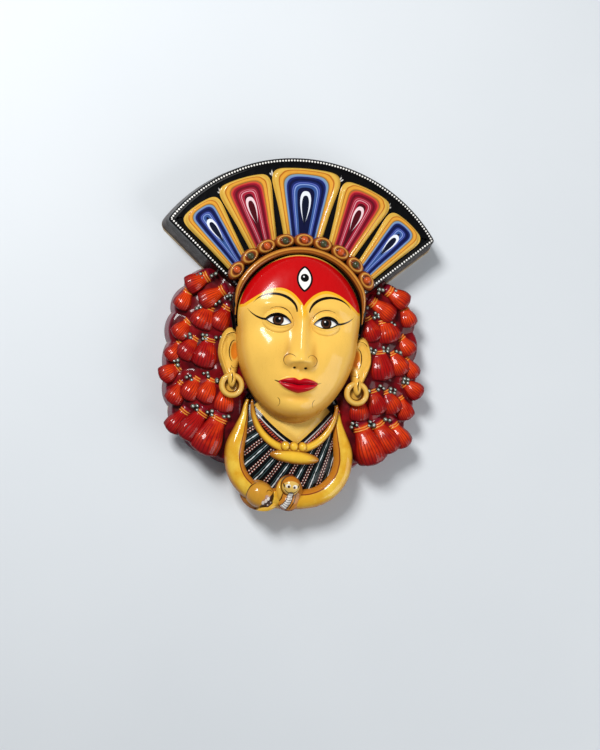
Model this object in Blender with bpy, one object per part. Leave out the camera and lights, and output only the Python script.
"""Festival mask of a young goddess, moulded in papier mache in one piece.

The shell lies on its open back with the face up. The origin is in the middle of the back rim,
+X runs to the viewer's right, +Y to the top of the crown and +Z out of the face.
Crown, petals, beads, hair, ears, rings, snakes and collar all belong to the one casting.
"""

import bpy
import numpy as np

# Sizes in metres. The carving is set out in steps, 352 of them from the chin end to the crown.
HEIGHT = 0.352
STEP = HEIGHT / 352
WALL = 0.0055
VOXEL = 1.25 * STEP
FRONT_TRIANGLES = 8400
HOLLOW_TRIANGLES = 900

# Crown plate: a fan seen from an apex under the chin line, closed by a wide arc.
CROWN_CENTRE = 15 * STEP
CROWN_RADIUS = 160 * STEP
CROWN_APEX = -12 * STEP
CROWN_SPREAD = np.radians(48.9)
CROWN_TOP = 34 * STEP
DRAFT = np.tan(np.radians(8))
EDGE_ROUND = 3 * STEP
RIM_BAND = 4 * STEP

# Petals on the crown: the middle one is widest. Each has its middle angle, half angle and reach.
PETALS = (
    (np.radians(0), np.radians(11.7), 177 * STEP),
    (np.radians(21.4), np.radians(9.2), 174 * STEP),
    (np.radians(38.6), np.radians(7.6), 169 * STEP),
)
PETAL_IN = 84 * STEP
PETAL_LIFT = 4 * STEP

# Band and beads round the forehead.
BROW_CENTRE = 16 * STEP
BAND_RADIUS = 66 * STEP
BAND_THICK = 3.4 * STEP
BAND_Z = 49 * STEP
SHELF_RADIUS = 68.5 * STEP
SHELF_LOW = 0 * STEP
BEADS = 9
BEAD_RING = 76.5 * STEP
BEAD_PITCH = np.radians(14.2)
BEAD_SIZE = np.array([10.4, 6.8, 8.5]) * STEP
BEAD_Z = 41 * STEP
JEWEL_SIZE = 4.4 * STEP

# Hair wings: a soft box outline, thinner at its edge.
HAIR_CENTRE = -22 * STEP
HAIR_HALF_WIDTH = 123 * STEP
HAIR_UP = 98 * STEP
HAIR_DOWN = 106 * STEP
HAIR_EDGE = 22 * STEP
HAIR_TOP = 30 * STEP
SCALLOP = 4 * STEP
SCALLOPS = 25

# Neck plate with the bib, under the chin.
NECK_CENTRE = -107 * STEP
NECK_RADIUS = 60 * STEP
NECK_TOP = 31 * STEP

# Face: an egg on a rim, with the brow, nose base and chin a third of the height apart.
FACE_MIDDLE = -2 * STEP
FACE_UP = 84 * STEP
FACE_DOWN = 84 * STEP
FACE_HALF_WIDTH = 60 * STEP
JAW_TAPER = 0.14
FOREHEAD_FILL = 0.1
FACE_RIM = 35 * STEP
FACE_DOME = 31 * STEP
BROW_LINE = 23 * STEP
NOSE_BASE = -31 * STEP
EYE_X = 23 * STEP
EYE_Y = 10 * STEP
EYE_HALF_WIDTH = 12 * STEP
MOUTH_Y = -49 * STEP
MOUTH_HALF_WIDTH = 19 * STEP
CHIN_Y = -72 * STEP

# Ears and ear rings.
EAR_X = 65.5 * STEP
EAR_Y = -20 * STEP
EAR_HALF = np.array([9, 22, 11]) * STEP
EAR_Z = 30 * STEP
RING_X = 61.5 * STEP
RING_Y = -53 * STEP
RING_RADIUS = 9.7 * STEP
RING_THICK = 3.2 * STEP
RING_Z = 40 * STEP

# Snakes round the neck.
SNAKE_RADIUS = 9.5 * STEP
SNAKE_Z = 29 * STEP
SNAKE_CENTRE = -112 * STEP
SNAKE_TURNS = np.radians((-47, -36, -16, 4, 28, 50, 68, 96))
SNAKE_REACH = np.array((66, 55, 51, 54, 56, 54, 50, 46)) * STEP

# Collar, beads and amulet.
COLLAR_CENTRE = -66 * STEP
COLLAR_HALF_WIDTH = 40 * STEP
COLLAR_DROP = 44 * STEP
COLLAR_THICK = 3.2 * STEP
COLLAR_Z = 34 * STEP
AMULET_Y = -118 * STEP
AMULET_HALF_LENGTH = 24 * STEP
AMULET_THICK = 6.8 * STEP

# Rows of tassels on each wing: how many, then the tie, the length and the half width in steps and the
# lean in degrees of the inner and of the outer one. Last come the rise, the lean and the width that
# the middle of the row adds.
TASSEL_ROWS = (
    (3, (75, 39, 22, 9.2, 56), (110, 36, 18, 9.0, 24), (14, 18, 0.6)),
    (3, (69, 22, 20, 9.6, 26), (108, 6, 18, 9.4, 38), (7, -12, 3.4)),
    (3, (84, -10, 24, 12.4, 12), (114, -15, 19, 8.6, 34), (3, 8, -0.6)),
    (1, (113, -38, 17, 8.6, 54), (113, -38, 17, 8.6, 54), (0, 0, 0)),
    (4, (65, -55, 21, 9.6, 6), (110, -54, 21, 9.4, 28), (7, 8, 0.8)),
    (3, (71, -86, 33, 14.0, 24), (106, -81, 23, 10.0, 34), (2, 5, 0.0)),
)
TASSEL_Z = 27.5 * STEP
TASSEL_FALL = 0.11
TASSEL_TIE = 0.5
TASSEL_FLAT = 0.72

AROUND = 160


def loft(rings):
    """Points and faces of the closed skin through equal rings, with a fan over each end."""
    rings = np.asarray(rings, float)
    count, around = rings.shape[:2]
    ends = np.array([rings[0].mean(axis=0), rings[-1].mean(axis=0)])
    points = np.vstack([rings.reshape(-1, 3), ends])
    row, column = np.meshgrid(np.arange(count - 1), np.arange(around), indexing="ij")
    after = (column + 1) % around
    here, above = row * around, (row + 1) * around
    quads = np.stack([here + column, here + after, above + after, above + column], axis=-1)
    column, after = column[0], after[0]
    first, last = count * around, count * around + 1
    low = np.stack([after, column, np.full(around, first)], axis=-1)
    high_ring = (count - 1) * around
    high = np.stack([high_ring + column, high_ring + after, np.full(around, last)], axis=-1)
    return points, quads.reshape(-1, 4).tolist() + low.tolist() + high.tolist()


def turn(around=AROUND):
    """Angles once round a ring."""
    return np.linspace(0, 2 * np.pi, around, endpoint=False)


def soft_box(angle, power):
    """Cosine and sine bent towards a box, the more the higher the power."""
    bend = 2 / power
    across, along = np.cos(angle), np.sin(angle)
    return np.sign(across) * np.abs(across) ** bend, np.sign(along) * np.abs(along) ** bend


def plate(outline, profile):
    """Rings that step an outline in or out along its normals, one for each (outset, height)."""
    ahead = np.roll(outline, -1, axis=0) - np.roll(outline, 1, axis=0)
    normal = np.stack([ahead[:, 1], -ahead[:, 0]], axis=-1)
    normal /= np.maximum(np.linalg.norm(normal, axis=1, keepdims=True), 1e-9)
    rings = []
    for outset, height in profile:
        level = np.broadcast_to(height, len(outline))
        rings.append(np.column_stack([outline + outset * normal, level]))
    return rings


def tube(path, radius, flatness=1.0, around=24):
    """Rings of a round cord along a path that lies in plan, one radius for each point."""
    path = np.asarray(path, float)
    ahead = np.gradient(path, axis=0)
    ahead /= np.linalg.norm(ahead, axis=1, keepdims=True)
    side = np.stack([ahead[:, 1], -ahead[:, 0], np.zeros(len(path))], axis=-1)
    side /= np.linalg.norm(side, axis=1, keepdims=True)
    up = np.cross(ahead, side)
    angle = turn(around)[None, :, None]
    reach = np.broadcast_to(radius, len(path))[:, None, None]
    sideways = np.cos(angle) * side[:, None, :]
    upwards = np.sin(angle) * up[:, None, :] * flatness
    return path[:, None, :] + reach * (sideways + upwards)


def ball(centre, half_sizes, heading=0.0, around=28, rows=15):
    """Rings of an ellipsoid whose first axis is turned in plan by the heading."""
    lift = np.linspace(-0.49, 0.49, rows)[:, None] * np.pi
    angle = turn(around)[None, :]
    across = half_sizes[0] * np.cos(lift) * np.cos(angle)
    along = half_sizes[1] * np.cos(lift) * np.sin(angle)
    height = half_sizes[2] * np.sin(lift) + 0 * angle
    x = centre[0] + across * np.cos(heading) - along * np.sin(heading)
    y = centre[1] + across * np.sin(heading) + along * np.cos(heading)
    return np.stack([x, y, centre[2] + height], axis=-1)


def mirrored(rings):
    """The same rings on the other side of the midline, wound the same way round."""
    other = np.array(rings, float)
    other[..., 0] *= -1
    return other[:, ::-1]


def bump(across, along):
    """A round swelling, 1 at the middle and nearly 0 two radii out."""
    return np.exp(-across * across - along * along)


def rise(value, low, high):
    """A smooth step from 0 at low to 1 at high."""
    share = np.clip((value - low) / (high - low), 0, 1)
    return share * share * (3 - 2 * share)


def crown_outline(inset):
    """The fan: out along one side, round the arc and back along the other."""
    radius = CROWN_RADIUS - inset
    spread = np.linspace(-1, 1, 61) * (CROWN_SPREAD - inset / (150 * STEP))
    gap = CROWN_CENTRE - CROWN_APEX
    reach = gap * np.cos(spread) + np.sqrt(radius**2 - (gap * np.sin(spread)) ** 2)
    share = np.linspace(0, 1, 40)[:-1]
    inner = 60 * STEP + inset
    down = reach[-1] + (inner - reach[-1]) * share
    far = np.concatenate([reach, down, np.full(31, inner), down[::-1]])
    angle = np.concatenate(
        [spread, np.full(39, spread[-1]), np.linspace(spread[-1], spread[0], 31), np.full(39, spread[0])]
    )
    return np.stack([far * np.sin(angle), CROWN_APEX + far * np.cos(angle)], axis=-1)[::-1]


def crown(inset):
    """The fan plate, with a raised edge band at its front and walls that widen to the back."""
    outline = crown_outline(inset)
    top = CROWN_TOP - inset
    lip = 1.2 * STEP if inset == 0 else 0
    profile = [
        (DRAFT * CROWN_TOP * 1.3, -0.3 * CROWN_TOP),
        (DRAFT * CROWN_TOP, 0),
        (DRAFT * EDGE_ROUND, top - EDGE_ROUND + lip),
        (-0.3 * EDGE_ROUND, top - 0.3 * EDGE_ROUND + lip),
        (-EDGE_ROUND, top + lip),
        (-RIM_BAND, top + lip),
        (-RIM_BAND - 2 * STEP, top),
        (-RIM_BAND - 12 * STEP, top),
    ]
    return plate(outline, profile)


def hair(inset):
    """The wings: one soft box behind the whole head, scalloped round its edge."""
    across, along = soft_box(turn(400), 3)
    up = np.where(along > 0, HAIR_UP, HAIR_DOWN) - inset
    outline = np.stack([(HAIR_HALF_WIDTH - inset) * across, HAIR_CENTRE + up * along], axis=-1)
    if inset == 0:
        lengths = np.linalg.norm(np.roll(outline, -1, axis=0) - outline, axis=1)
        lengths = (lengths + np.roll(lengths, 200)) / 2
        share = np.cumsum(lengths) / lengths.sum() - 0.75
        wave = SCALLOP * (np.abs(np.cos(np.pi * SCALLOPS * share)) ** 0.7 - 0.6)
        outline += wave[:, None] * outline / np.linalg.norm(outline, axis=1, keepdims=True)
    edge = HAIR_EDGE - inset
    top = HAIR_TOP - inset
    profile = [
        (DRAFT * HAIR_EDGE * 1.3, -0.3 * HAIR_EDGE),
        (DRAFT * HAIR_EDGE, 0),
        (DRAFT * EDGE_ROUND, edge - EDGE_ROUND),
        (-0.3 * EDGE_ROUND, edge - 0.3 * EDGE_ROUND),
        (-EDGE_ROUND, edge),
        (-30 * STEP, (edge + 2 * top) / 3),
        (-50 * STEP, top),
    ]
    return plate(outline, profile)


def neck(inset):
    """The plate under the snakes and the bib, reaching up behind the chin."""
    across, along = np.cos(turn()), np.sin(turn())
    up = np.where(along > 0, 60 * STEP, NECK_RADIUS - inset)
    outline = np.stack([(NECK_RADIUS - inset) * across, NECK_CENTRE + up * along], axis=-1)
    edge = NECK_TOP - 6 * STEP - inset
    top = NECK_TOP - inset
    profile = [
        (DRAFT * HAIR_EDGE * 1.3, -0.3 * HAIR_EDGE),
        (DRAFT * HAIR_EDGE, 0),
        (DRAFT * EDGE_ROUND, edge - EDGE_ROUND),
        (-EDGE_ROUND, edge),
        (-22 * STEP, top),
        (-40 * STEP, top + 2 * STEP),
    ]
    return plate(outline, profile)


def eye_lids(across):
    """How far the upper and lower lids stand from the eye line."""
    share = np.clip(1 - (across / EYE_HALF_WIDTH) ** 2, 0, 1)
    return 6.2 * STEP * share**0.8, -4.0 * STEP * share


def face_relief(x, y):
    """Height that the features add to the smooth egg, in metres."""
    side = np.abs(x) / STEP
    up = y / STEP
    brow = BROW_LINE / STEP
    base = NOSE_BASE / STEP
    eye_x, eye_y = EYE_X / STEP, EYE_Y / STEP
    mouth, half_mouth = MOUTH_Y / STEP, MOUTH_HALF_WIDTH / STEP

    arch = brow + 3 - 0.006 * (side - 22) ** 2
    height = 1.6 * np.exp(-(((up - arch) / 4.5) ** 2)) * rise(side, 2, 9) * (1 - rise(side, 34, 46))
    height -= 5.5 * bump((side - eye_x) / 15, (up - eye_y) / 10)

    down = np.clip((brow - 2 - up) / (brow - 2 - base), 0, 1.2)
    width = 4.8 + 4.2 * down
    bridge = (3.2 + 8.3 * down**1.2) * np.exp(-((side / width) ** 2))
    height += bridge * rise(up, base - 4, base + 4) * (1 - rise(up, brow - 8, brow + 14))
    height += 3.6 * bump(side / 8, (up - base - 5) / 7)
    height += 5.0 * bump((side - 9.4) / 4.8, (up - base - 3) / 5)

    height += 3.4 * bump((side - 31) / 16, (up + 20) / 17)
    height += 3.2 * bump(side / 22, (up - mouth - 2) / 14)
    height -= 1.3 * bump(side / 2.6, (up - mouth - 11) / 5)
    fill = np.clip(1 - (side / half_mouth) ** 2, 0, 1)
    seam = mouth + 0.9 * (side / half_mouth) ** 2 - 0.6 * bump(side / 4, 0 * up)
    upper = (up - seam) / (1.5 + 5.6 * fill**0.8)
    lower = (seam - up) / (1.5 + 7.0 * fill**0.7)
    lip = np.where(upper > 0, 3.3 * np.sin(np.pi * np.clip(upper, 0, 1)) ** 0.8, 0)
    lip += np.where(lower > 0, 4.0 * np.sin(np.pi * np.clip(lower, 0, 1)) ** 0.8, 0)
    height += lip * np.sqrt(fill)
    height -= 2.0 * bump(side / 14, (up - mouth + 12.5) / 3.6)
    height += 6.0 * bump(side / 17, (up - CHIN_Y / STEP) / 12)

    lid_up, lid_down = eye_lids((side - eye_x) * STEP)
    above = up - eye_y - lid_up / STEP
    below = eye_y + lid_down / STEP - up
    gap = np.maximum(above, below)
    reach = rise(13.5 - np.abs(side - eye_x), 0, 3)
    eyeball = 4.6 * np.sqrt(np.clip(1 - ((side - eye_x) / 15) ** 2 - ((up - eye_y) / 11) ** 2, 0, 1))
    height += eyeball
    height += 1.7 * np.exp(-(((above - 1.2) / 1.5) ** 2)) * reach
    height += 1.2 * np.exp(-(((below - 1.0) / 1.4) ** 2)) * reach
    height -= 0.8 * (1 - rise(gap, -1.2, 0.2)) * reach
    return height * STEP


def face_point(share, angle, inset=0.0):
    """Plan position at a share of the way out to the egg's outline."""
    level = share * np.sin(angle)
    full = FOREHEAD_FILL * np.sin(np.pi * np.clip(level, 0, 1) ** 0.8)
    half = (FACE_HALF_WIDTH - inset) * (1 - JAW_TAPER * np.minimum(level, 0) ** 2 + full)
    reach = np.where(level > 0, FACE_UP, FACE_DOWN) - inset
    return half * share * np.cos(angle), FACE_MIDDLE + level * reach


def egg(share, fuller):
    """Height of the smooth face above the floor at a share of the way to its outline."""
    return FACE_RIM + FACE_DOME * np.sqrt(np.clip(1 - share ** (2.3 + fuller), 0, 1))


def face(inset):
    """The head: the egg with its features outside, a plainer egg with a nose hollow inside."""
    share = np.sin(np.linspace(1, 0.01, 90) * np.pi / 2)[:, None]
    angle = turn(240)[None, :]
    x, y = face_point(share, angle, inset)
    fuller = 1.7 * rise(y, 0, 30 * STEP) if inset == 0 else 0
    height = egg(share, fuller) + 0 * angle
    if inset > 0:
        height += 7 * STEP * bump(x / (11 * STEP), (y + 14 * STEP) / (24 * STEP)) - inset - 2 * STEP
    else:
        height += face_relief(x, y) * rise(1 - share, 0.005, 0.07)
    surface = np.stack([x, y, height], axis=-1)
    foot = surface[:1].copy()
    foot[..., 2] = 8 * STEP
    return np.concatenate([foot, surface])


def petal(middle, half_angle, reach):
    """A cushion between two lines of the fan, with round corners at its wide end."""
    across, along = soft_box(turn(120), 8)
    centre, half_length = (reach + PETAL_IN) / 2, (reach - PETAL_IN) / 2
    radius = centre + half_length * along
    half_width = radius * np.tan(half_angle)
    side = half_width * across
    outline = np.stack(
        [
            side * np.cos(middle) + radius * np.sin(middle),
            CROWN_APEX + radius * np.cos(middle) - side * np.sin(middle),
        ],
        axis=-1,
    )
    top = CROWN_TOP + PETAL_LIFT
    profile = [
        (0, CROWN_TOP - 3 * STEP),
        (0, CROWN_TOP + 0.4 * PETAL_LIFT),
        (-1 * STEP, CROWN_TOP + 0.8 * PETAL_LIFT),
        (-3 * STEP, top),
        (-5 * STEP, top - 0.5 * STEP),
        (-9 * STEP, top - 0.2 * STEP),
    ]
    return plate(outline, profile)


def bead(index):
    """An oval setting with a round jewel on it, at its place on the forehead arc."""
    angle = (index - (BEADS - 1) / 2) * BEAD_PITCH
    x, y = BEAD_RING * np.sin(angle), BROW_CENTRE + BEAD_RING * np.cos(angle)
    setting = ball((x, y, BEAD_Z), BEAD_SIZE, -angle)
    jewel = ball((x, y, BEAD_Z + BEAD_SIZE[2] - 2 * STEP), np.full(3, JEWEL_SIZE))
    return setting, jewel


def band():
    """The roll round the forehead, thinner and closer in towards the temples."""
    angle = np.linspace(-1, 1, 90) * np.radians(91)
    to_end = rise(np.abs(angle), np.radians(60), np.radians(91))
    reach = BAND_RADIUS - 3.5 * STEP * to_end
    path = [reach * np.sin(angle), BROW_CENTRE + reach * np.cos(angle), BAND_Z - 7 * STEP * to_end]
    return tube(np.stack(path, axis=-1), BAND_THICK * (1 - 0.82 * to_end))


def brow(inset):
    """The shelf under the band and the beads, with a lower side lock before each ear."""
    across, along = np.cos(turn()), np.sin(turn())
    radius = SHELF_RADIUS - inset
    outline = np.stack([radius * across, BROW_CENTRE + radius * along], axis=-1)
    low = BROW_CENTRE + inset if inset > 0 else SHELF_LOW
    outline[:, 1] = np.maximum(outline[:, 1], low)
    outline[:, 0] *= 0.94 + 0.06 * rise(outline[:, 1], 5 * STEP, 32 * STEP)
    top = BAND_Z - 4 * STEP - inset
    profile = [(0, 5 * STEP), (0, top - 9 * STEP), (-4 * STEP, top), (-12 * STEP, top - 4 * STEP)]
    rings = np.array(plate(outline, profile))
    rings[2:, :, 2] -= 8 * STEP * (1 - rise(rings[2:, :, 1], 12 * STEP, 26 * STEP))
    return rings


def ear():
    """The right ear: a long pad, its rolled edge and the lobe behind the ring."""
    pad = ball((EAR_X, EAR_Y, EAR_Z), EAR_HALF * (0.95, 0.95, 0.75))
    angle = np.linspace(-0.42, 0.92, 44) * np.pi
    path = np.stack(
        [
            EAR_X + EAR_HALF[0] * 0.8 * np.cos(angle),
            EAR_Y + EAR_HALF[1] * 0.88 * np.sin(angle),
            np.full(44, EAR_Z + 7 * STEP),
        ],
        axis=-1,
    )
    edge = tube(path, 3.0 * STEP * np.sqrt(np.sin(np.linspace(0.06, 0.94, 44) * np.pi)))
    lobe = ball((RING_X + 1 * STEP, RING_Y + 9 * STEP, EAR_Z + 3 * STEP), np.array([6, 11, 8]) * STEP)
    return pad, edge, lobe


def ear_ring():
    """The right ear ring: a flat hoop round a button."""
    angle = np.append(turn(60), 2 * np.pi)
    path = np.stack(
        [
            RING_X + RING_RADIUS * np.cos(angle),
            RING_Y + RING_RADIUS * np.sin(angle),
            np.full(61, RING_Z),
        ],
        axis=-1,
    )
    button = ball((RING_X, RING_Y, RING_Z - 4 * STEP), np.array([8, 8, 6]) * STEP)
    return tube(path, RING_THICK), button


def tassel(tie, lean, length, width, lift):
    """A bound tuft: a knob over the tie, then a plump skirt with a blunt end."""
    end = 0.86 + 0.14 * np.sin(np.linspace(0, 1, 8) * np.pi / 2)
    along = np.concatenate([np.linspace(-0.4, 0.84, 24), end])
    ahead = length * along
    rounded = lift + 1.6 * STEP * np.sin(np.pi * along)
    path = [tie[0] + ahead * np.sin(lean), tie[1] - ahead * np.cos(lean), rounded]
    skirt = TASSEL_TIE + (1 - TASSEL_TIE) * rise(along, 0, 0.55)
    knob = 0.14 * np.exp(-(((along + 0.22) / 0.1) ** 2))
    blunt = np.clip(1 - (np.clip(along - 0.76, 0, 1) / 0.2405) ** 2.6, 0.001, 1) ** 0.45
    neck_end = np.sqrt(np.clip((along + 0.405) / 0.2, 0.02, 1))
    return tube(np.stack(path, axis=-1), width * (skirt + knob) * blunt * neck_end, TASSEL_FLAT)


def tassels():
    """Rows of tufts on the right wing, leaning out and down from their ties."""
    for count, inner, outer, middle in TASSEL_ROWS:
        for share in np.linspace(0, 1, count):
            hump = np.array([0, middle[0], 0, middle[2], middle[1]]) * np.sin(np.pi * share)
            x, y, length, width, lean = np.array(inner) * (1 - share) + np.array(outer) * share + hump
            lift = TASSEL_Z - TASSEL_FALL * (x - 66) * STEP
            yield tassel((x * STEP, y * STEP), np.radians(lean), length * STEP, width * STEP, lift)


def snake(last_turn):
    """A body that swells from its tip by the jaw, round the neck to the end of its turn."""
    angle = np.linspace(SNAKE_TURNS[0], last_turn, 90)
    reach = np.interp(angle, SNAKE_TURNS, SNAKE_REACH)
    window = np.hanning(19)
    padded = np.concatenate([np.full(9, reach[0]), reach, np.full(9, reach[-1])])
    reach = np.convolve(padded, window / window.sum(), mode="valid")
    path = np.stack(
        [reach * np.cos(angle), SNAKE_CENTRE - reach * np.sin(angle), np.full(90, SNAKE_Z)], axis=-1
    )
    swell = rise(angle, SNAKE_TURNS[0] - 0.25, SNAKE_TURNS[3])
    return tube(path, SNAKE_RADIUS * (0.05 + 0.95 * swell), 1.0, 32)


def cobra():
    """The raised head in the middle: hood, head and the throat that hangs from it."""
    x, y = 1 * STEP, -150 * STEP
    hood = ball((x, y - 1 * STEP, 31 * STEP), np.array([13.5, 18, 13]) * STEP)
    head = ball((x, y + 6 * STEP, 43 * STEP), np.array([9.2, 9.6, 8]) * STEP)
    throat = ball((x - 4 * STEP, y - 9 * STEP, 38 * STEP), np.array([5, 10, 7.5]) * STEP, -0.45)
    return hood, head, throat


def asp():
    """The round head on the left, with open jaws that turn down to the middle."""
    x, y = -27 * STEP, -152 * STEP
    skull = ball((x, y, 34 * STEP), np.array([14, 12, 12]) * STEP, -0.35)
    lip = ball((x + 11 * STEP, y - 3 * STEP, 36 * STEP), np.array([7, 4, 8]) * STEP, -0.25)
    jaw = ball((x + 8 * STEP, y - 12 * STEP, 33 * STEP), np.array([10, 4, 8]) * STEP, 0.3)
    return skull, lip, jaw


def collar():
    """Neck band, the three beads at its lowest point and the amulet under them."""
    angle = np.linspace(0.05, 0.95, 70) * np.pi
    path = np.stack(
        [
            COLLAR_HALF_WIDTH * np.cos(angle),
            COLLAR_CENTRE - COLLAR_DROP * np.sin(angle),
            np.full(70, COLLAR_Z),
        ],
        axis=-1,
    )
    yield tube(path, COLLAR_THICK)
    for offset in (-1, 0, 1):
        centre = ((3 + 8.5 * offset) * STEP, -107 * STEP, 38 * STEP)
        yield ball(centre, np.array([4.4, 4.6, 4.6]) * STEP)
    along = np.linspace(-1, 1, 50)
    spindle = np.stack(
        [
            3 * STEP + AMULET_HALF_LENGTH * along,
            np.full(50, AMULET_Y),
            np.full(50, 36 * STEP),
        ],
        axis=-1,
    )
    yield tube(spindle, AMULET_THICK * (0.2 + 0.8 * np.sqrt(np.clip(1 - along**2, 0, 1))))


def front_forms():
    """Every raised form of the front, each a closed set of rings."""
    yield crown(0.0)
    yield hair(0.0)
    yield neck(0.0)
    yield brow(0.0)
    yield face(0.0)
    yield band()
    for middle, half_angle, reach in PETALS:
        yield petal(middle, half_angle, reach)
        if middle > 0:
            yield petal(-middle, half_angle, reach)
    for index in range(BEADS):
        yield from bead(index)
    sided = [*ear(), *ear_ring(), *tassels()]
    for rings in sided:
        yield rings
        yield mirrored(rings)
    yield snake(np.radians(108))
    yield mirrored(snake(np.radians(62)))
    yield from cobra()
    yield from asp()
    yield from collar()


def hollow_forms():
    """The same broad forms a wall's thickness smaller, without the ornament."""
    yield crown(WALL)
    yield hair(WALL)
    yield neck(WALL)
    yield brow(WALL)
    yield face(WALL)


def join(name, forms):
    """One mesh object of many closed skins."""
    points, faces, start = [], [], 0
    for rings in forms:
        skin, skin_faces = loft(rings)
        points.append(skin)
        faces += [[start + corner for corner in face] for face in skin_faces]
        start += len(skin)
    mesh = bpy.data.meshes.new(name)
    mesh.from_pydata(np.vstack(points).tolist(), [], faces)
    mesh.update()
    thing = bpy.data.objects.new(name, mesh)
    bpy.context.collection.objects.link(thing)
    return thing


def solid(name, forms, triangles):
    """The forms melted into one skin and thinned to a number of triangles."""
    thing = join(name, forms)
    melt = thing.modifiers.new("melt", "REMESH")
    melt.mode = "VOXEL"
    melt.voxel_size = VOXEL
    bpy.context.view_layer.update()
    graph = bpy.context.evaluated_depsgraph_get()
    faces = len(thing.evaluated_get(graph).data.polygons)
    thin = thing.modifiers.new("thin", "DECIMATE")
    thin.ratio = triangles / (2 * faces)
    return thing


def box(name, low, high):
    """A closed block between two corners, in metres."""
    corner = np.array([[x, y, z] for z in (0, 1) for y in (0, 1) for x in (0, 1)], float)
    points = np.array(low) + corner * (np.array(high) - np.array(low))
    sides = [(0, 2, 3, 1), (4, 5, 7, 6), (0, 1, 5, 4), (2, 6, 7, 3), (0, 4, 6, 2), (1, 3, 7, 5)]
    mesh = bpy.data.meshes.new(name)
    mesh.from_pydata(points.tolist(), [], sides)
    thing = bpy.data.objects.new(name, mesh)
    bpy.context.collection.objects.link(thing)
    return thing


def cut(thing, cutter, name):
    """Take one solid out of another, and hide the cutter."""
    taken = thing.modifiers.new(name, "BOOLEAN")
    taken.operation = "DIFFERENCE"
    taken.object = cutter
    cutter.hide_render = True
    cutter.display_type = "WIRE"


def lacquer(name, colour, roughness):
    """A plain painted finish."""
    paint = bpy.data.materials.new(name)
    paint.use_nodes = True
    shader = paint.node_tree.nodes["Principled BSDF"]
    shader.inputs["Base Color"].default_value = (*colour, 1)
    shader.inputs["Roughness"].default_value = roughness
    return paint


def centred(source, name):
    """The finished skin moved so that the middle of its bounds is over the origin."""
    bpy.context.view_layer.update()
    graph = bpy.context.evaluated_depsgraph_get()
    mesh = bpy.data.meshes.new_from_object(source.evaluated_get(graph))
    count = len(mesh.vertices)
    points = np.empty(count * 3)
    mesh.vertices.foreach_get("co", points)
    points = points.reshape(-1, 3)
    middle = (points.min(axis=0) + points.max(axis=0)) / 2
    middle[2] = points[:, 2].min()
    mesh.vertices.foreach_set("co", (points - middle).ravel())
    mesh.update()
    thing = bpy.data.objects.new(name, mesh)
    bpy.context.collection.objects.link(thing)
    return thing


for thing in list(bpy.data.objects):
    bpy.data.objects.remove(thing)

block = solid("block", front_forms(), FRONT_TRIANGLES)
hollow = solid("hollow", hollow_forms(), HOLLOW_TRIANGLES)
floor = box("floor", (-HEIGHT, -HEIGHT, -HEIGHT / 2), (HEIGHT, HEIGHT, 0))
cut(block, hollow, "hollow back")
cut(block, floor, "flat rim")
mask = centred(block, "mask")
mask.data.materials.append(lacquer("lacquer", (0.78, 0.42, 0.08), 0.25))
for helper in (block, hollow, floor):
    bpy.data.objects.remove(helper)
